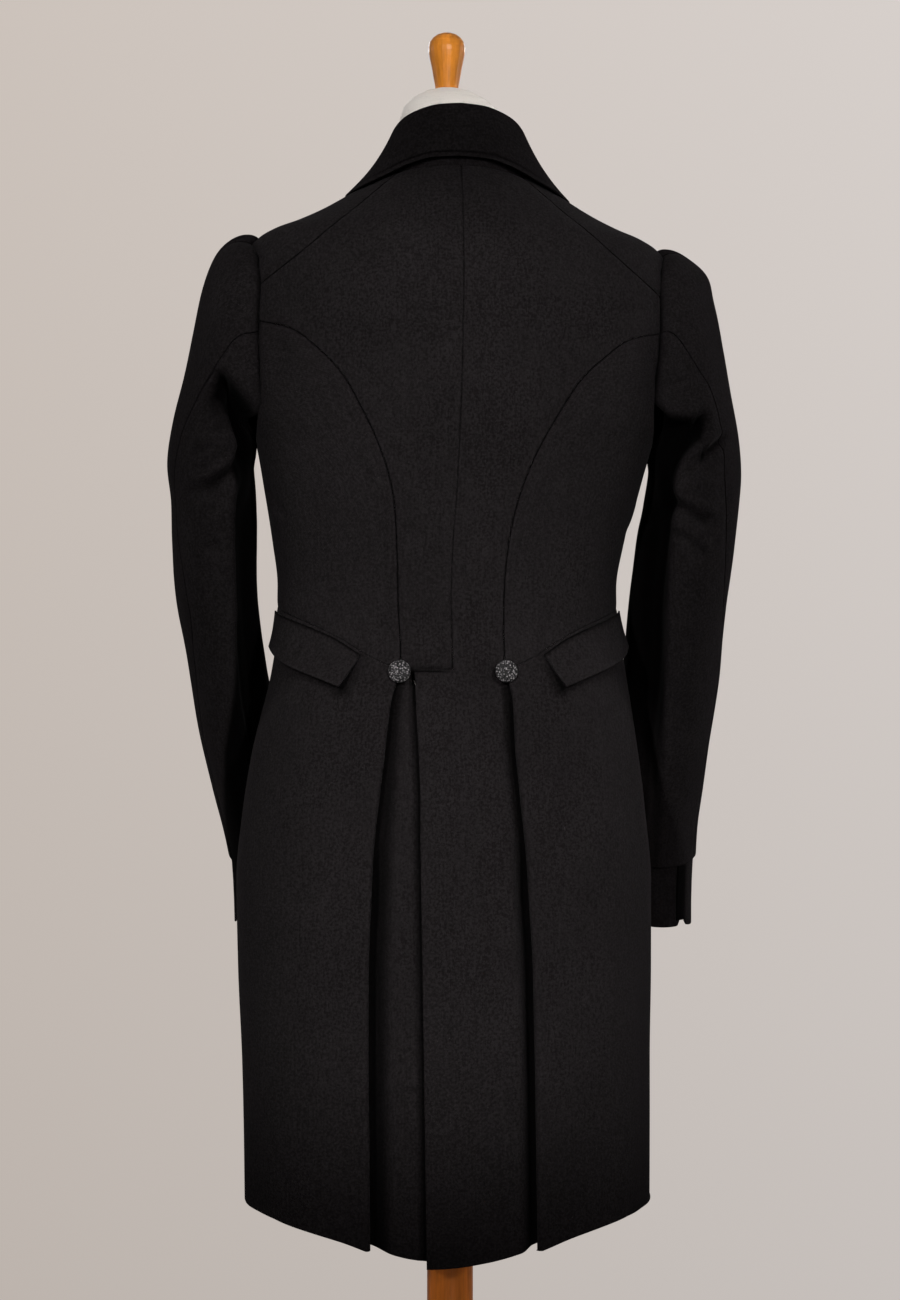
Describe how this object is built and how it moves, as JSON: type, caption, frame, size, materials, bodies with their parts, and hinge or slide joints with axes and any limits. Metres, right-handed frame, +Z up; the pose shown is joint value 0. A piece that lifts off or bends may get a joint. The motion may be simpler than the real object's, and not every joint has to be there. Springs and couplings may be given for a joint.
{
  "type": "regency tailcoat on a dress form",
  "caption": "Cutaway wool tailcoat with a rolled collar, long pleated tails and flaps, worn on a limbless dress form with a turned knob, pole and round base.",
  "frame": {"origin": "centre of the underside of the stand's base, on the floor", "axes": "+Z up the pole, +X towards the wearer's right, +Y towards the coat's front"},
  "size_m": [0.5445, 0.41, 1.625],
  "materials": {
    "wool": "fine milled black wool, matt with a soft nap",
    "button_thread": "woven thread over a domed mould, slight sheen",
    "canvas": "pale plain cotton cover, matt",
    "knob_wood": "orange-brown varnish",
    "stand_wood": "red-brown varnish"
  },
  "bodies": {
    "root": {"back_left": "wool", "back_right": "wool", "side_body_left": "wool", "side_body_right": "wool", "front_left": "wool", "front_right": "wool", "lapel_left": "wool", "lapel_right": "wool", "skirt_left": "wool", "skirt_right": "wool", "flap_left": "wool", "flap_right": "wool", "top_sleeve_left": "wool", "top_sleeve_right": "wool", "under_sleeve_left": "wool", "under_sleeve_right": "wool", "cuff_left": "wool", "cuff_right": "wool", "collar": "wool", "hip_button_left": "button_thread", "hip_button_right": "button_thread", "front_button_1": "button_thread", "front_button_2": "button_thread", "front_button_3": "button_thread", "form_body": "canvas", "neck_knob": "knob_wood", "pole": "stand_wood", "stand_base": "stand_wood"}
  },
  "joints": []
}
